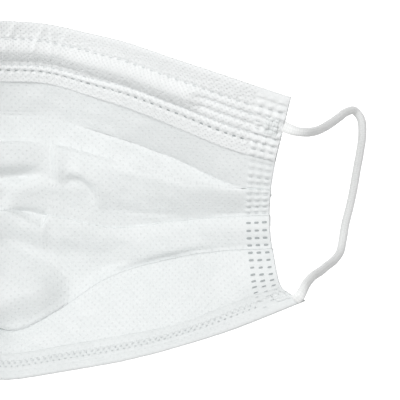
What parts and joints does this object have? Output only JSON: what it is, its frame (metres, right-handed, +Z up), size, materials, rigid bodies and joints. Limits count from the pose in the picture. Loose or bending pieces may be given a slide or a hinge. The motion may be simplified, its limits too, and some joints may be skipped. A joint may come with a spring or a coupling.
{
  "type": "pleated face mask",
  "caption": "Pleated nonwoven face mask with a folded border over a nose wire, a folded chin border and two round elastic ear loops, lying open with its inner side up.",
  "frame": {"origin": "middle of the mask's box at the table it lies on; the ear loops are left out of that box", "axes": "+X along the mask to the end that the camera sees, +Y across it towards the nose edge, +Z up, out of the inner side"},
  "size_m": [0.221, 0.1174, 0.0619],
  "materials": {
    "nonwoven": "white spunbond nonwoven",
    "folded_border": "white spunbond nonwoven, folded and welded",
    "elastic": "white knitted elastic",
    "coated_wire": "plastic-coated flat wire"
  },
  "bodies": {
    "root": {"mask_body": "nonwoven", "top_hem": "folded_border", "bottom_hem": "folded_border", "nose_wire": "coated_wire", "ear_loop_left": "elastic", "ear_loop_right": "elastic", "upper_weld_left": "elastic", "upper_weld_right": "elastic", "lower_weld_left": "elastic", "lower_weld_right": "elastic"}
  },
  "joints": []
}
